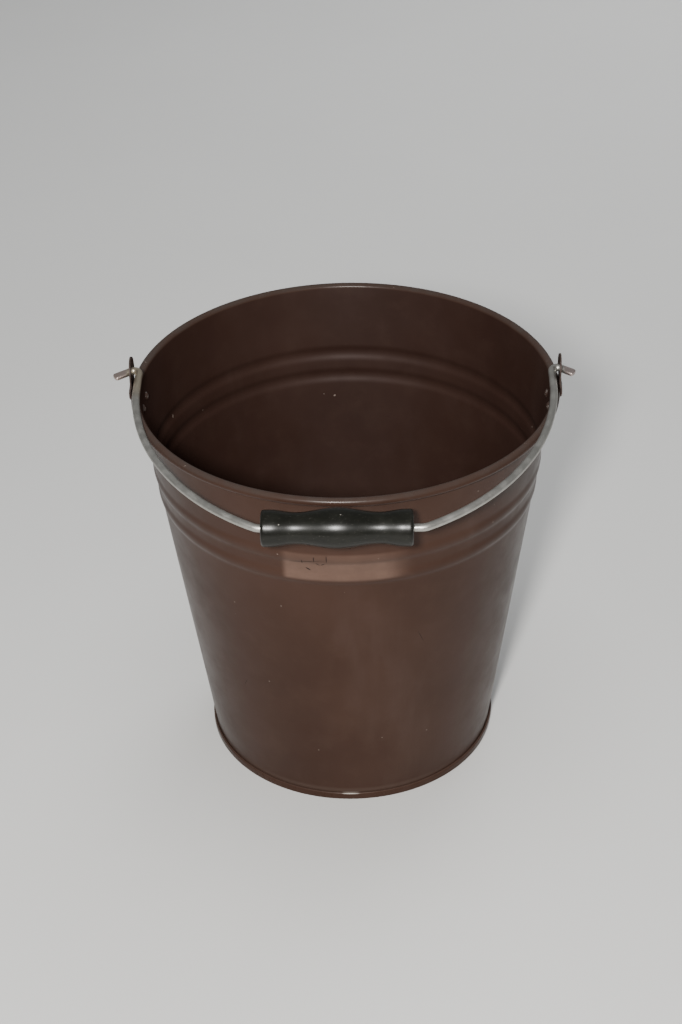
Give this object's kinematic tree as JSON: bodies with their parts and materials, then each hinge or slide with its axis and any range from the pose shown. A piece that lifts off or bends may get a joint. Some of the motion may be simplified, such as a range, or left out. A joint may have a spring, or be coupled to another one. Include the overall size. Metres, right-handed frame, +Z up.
{
  "type": "metal bucket",
  "caption": "Tapered painted steel bucket with a curled rim, swaged rings, riveted ears, a swinging wire bail and a turned plastic hand grip.",
  "frame": {"origin": "centre of the circle that the bucket stands on, on the floor", "axes": "+Z up; the two ears and the pivot axis of the bail lie along X, and the folded bail lies towards -Y, the front"},
  "size_m": [0.3051, 0.3089, 0.2972],
  "materials": {
    "brown_paint": "dark brown satin paint on sheet steel, with small scratches and rubbed chips on the rim",
    "rivet_metal": "dull steel rivet heads, painted over and worn bright in places",
    "galvanised_wire": "dull zinc-coated wire, slightly mottled",
    "black_plastic": "black satin moulded plastic"
  },
  "bodies": {
    "bucket": {"wall": "brown_paint", "bottom": "brown_paint", "left_ear": "brown_paint", "right_ear": "brown_paint", "rivet_left_back": "rivet_metal", "rivet_left_front": "rivet_metal", "rivet_right_back": "rivet_metal", "rivet_right_front": "rivet_metal"},
    "bail": {"bail": "galvanised_wire"},
    "grip": {"grip": "black_plastic"}
  },
  "joints": [
    {"name": "bail_swing", "type": "hinge", "parent": "bucket", "child": "bail", "pos_m": [0, 0, 0.2874], "axis": [-1, 0, 0], "range_deg": [0, 194.5]},
    {"name": "grip_spin", "type": "hinge", "parent": "bail", "child": "grip", "pos_m": [0, -0.1545, 0.26734], "axis": [1, 0, 0], "continuous": true}
  ]
}
